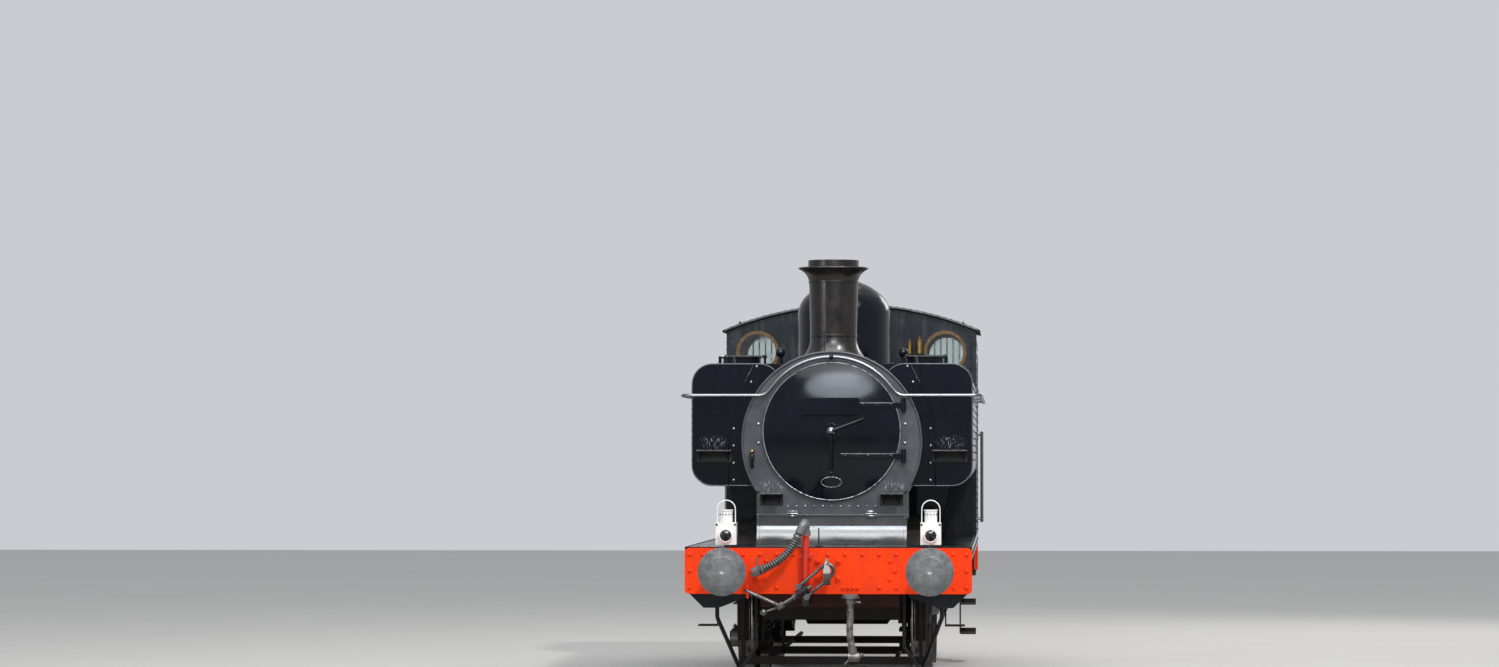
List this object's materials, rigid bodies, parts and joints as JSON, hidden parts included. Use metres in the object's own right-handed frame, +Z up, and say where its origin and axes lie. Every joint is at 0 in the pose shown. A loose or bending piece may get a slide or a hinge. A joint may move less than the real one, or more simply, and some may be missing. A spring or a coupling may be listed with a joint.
{
  "type": "steam locomotive",
  "caption": "Standard-gauge tank engine with six coupled wheels, inside cylinders, pannier tanks, turning wheels and rods, and opening smokebox door and filler lids.",
  "frame": {"origin": "on the ground between the wheel flanges, under the middle of the length over buffers", "axes": "+Y runs back along the engine, its front faces -Y; +X is its left side; +Z up"},
  "size_m": [2.616, 9.474, 3.7668],
  "materials": {
    "black_paint": "gloss black enamel",
    "brass": "polished brass",
    "bright_steel": "polished steel",
    "cab_metal": "worn painted castings",
    "floor_wood": "worn planks",
    "frame_paint": "satin black, oily",
    "hose_fittings": "painted castings",
    "hose_rubber": "ribbed grey rubber and canvas",
    "machined_steel": "worn, greasy steel",
    "red_paint": "gloss vermilion enamel",
    "smokebox_paint": "satin black heat-resisting paint",
    "white_paint": "gloss white enamel",
    "window_glass": "clear glass"
  },
  "bodies": {
    "chassis": {"ashpan": "frame_paint", "axleboxes": "frame_paint", "boiler": "black_paint", "brake_gear": "frame_paint", "buffer_heads": "machined_steel", "buffer_housings": "red_paint", "bunker": "black_paint", "cab_fittings": "cab_metal", "cab_floor": "floor_wood", "cab_front_sheet": "black_paint", "cab_rear_sheet": "black_paint", "cab_roof": "black_paint", "cab_side_sheets": "black_paint", "cab_steps": "black_paint", "chimney": "smokebox_paint", "cylinder_block": "frame_paint", "dome": "black_paint", "door_hinges": "black_paint", "draw_hooks": "machined_steel", "firebox": "black_paint", "frame_stretchers": "frame_paint", "front_buffer_beam": "red_paint", "front_steps": "black_paint", "guard_irons": "frame_paint", "handrail": "bright_steel", "heating_hose": "hose_rubber", "heating_pipes": "hose_fittings", "hose_coupling": "hose_fittings", "lamps": "white_paint", "lid_hinges": "black_paint", "main_frames": "frame_paint", "pannier_tanks": "black_paint", "rear_buffer_beam": "red_paint", "running_plate": "black_paint", "safety_valve": "brass", "sand_boxes": "black_paint", "screw_couplings": "machined_steel", "smokebox": "smokebox_paint", "smokebox_saddle": "black_paint", "spectacle_rims": "brass", "splashers": "black_paint", "springs": "frame_paint", "standpipes": "red_paint", "vacuum_hose": "hose_rubber", "whistles": "brass", "window_glass": "window_glass"},
    "leading_wheelset": {"leading_wheels": "frame_paint", "leading_axle": "machined_steel", "leading_crankpins": "bright_steel"},
    "driving_wheelset": {"driving_wheels": "frame_paint", "driving_axle": "machined_steel", "driving_crankpins": "bright_steel"},
    "trailing_wheelset": {"trailing_wheels": "frame_paint", "trailing_axle": "machined_steel", "trailing_crankpins": "bright_steel"},
    "coupling_rod_left": {"coupling_rod_left": "machined_steel"},
    "coupling_rod_right": {"coupling_rod_right": "machined_steel"},
    "smokebox_door": {"smokebox_door": "black_paint"},
    "filler_lid_left": {"filler_lid_left": "black_paint"},
    "filler_lid_right": {"filler_lid_right": "black_paint"}
  },
  "joints": [
    {"name": "driving_spin", "type": "hinge", "parent": "chassis", "child": "driving_wheelset", "pos_m": [0, -0.355, 0.733], "axis": [1, 0, 0], "continuous": true},
    {"name": "leading_spin", "type": "hinge", "parent": "chassis", "child": "leading_wheelset", "pos_m": [0, -2.565, 0.733], "axis": [1, 0, 0], "continuous": true},
    {"name": "trailing_spin", "type": "hinge", "parent": "chassis", "child": "trailing_wheelset", "pos_m": [0, 2.16, 0.733], "axis": [1, 0, 0], "continuous": true},
    {"name": "rod_left_pin", "type": "hinge", "parent": "driving_wheelset", "child": "coupling_rod_left", "pos_m": [0.88, -0.075, 0.733], "axis": [1, 0, 0], "continuous": true},
    {"name": "rod_right_pin", "type": "hinge", "parent": "driving_wheelset", "child": "coupling_rod_right", "pos_m": [-0.88, -0.355, 0.453], "axis": [1, 0, 0], "continuous": true},
    {"name": "smokebox_door_hinge", "type": "hinge", "parent": "chassis", "child": "smokebox_door", "pos_m": [0.623, -3.353, 2.266], "axis": [0, 0, 1], "range_deg": [0, 130]},
    {"name": "filler_lid_left_hinge", "type": "hinge", "parent": "chassis", "child": "filler_lid_left", "pos_m": [0.991, -2.95, 2.9138], "axis": [0, 1, 0], "range_deg": [0, 100]},
    {"name": "filler_lid_right_hinge", "type": "hinge", "parent": "chassis", "child": "filler_lid_right", "pos_m": [-0.991, -2.95, 2.9138], "axis": [0, -1, 0], "range_deg": [0, 100]}
  ],
  "couplings": [
    {"joint": "leading_spin", "follows": "driving_spin", "ratio": 1},
    {"joint": "trailing_spin", "follows": "driving_spin", "ratio": 1},
    {"joint": "rod_left_pin", "follows": "driving_spin", "ratio": -1},
    {"joint": "rod_right_pin", "follows": "driving_spin", "ratio": -1}
  ]
}
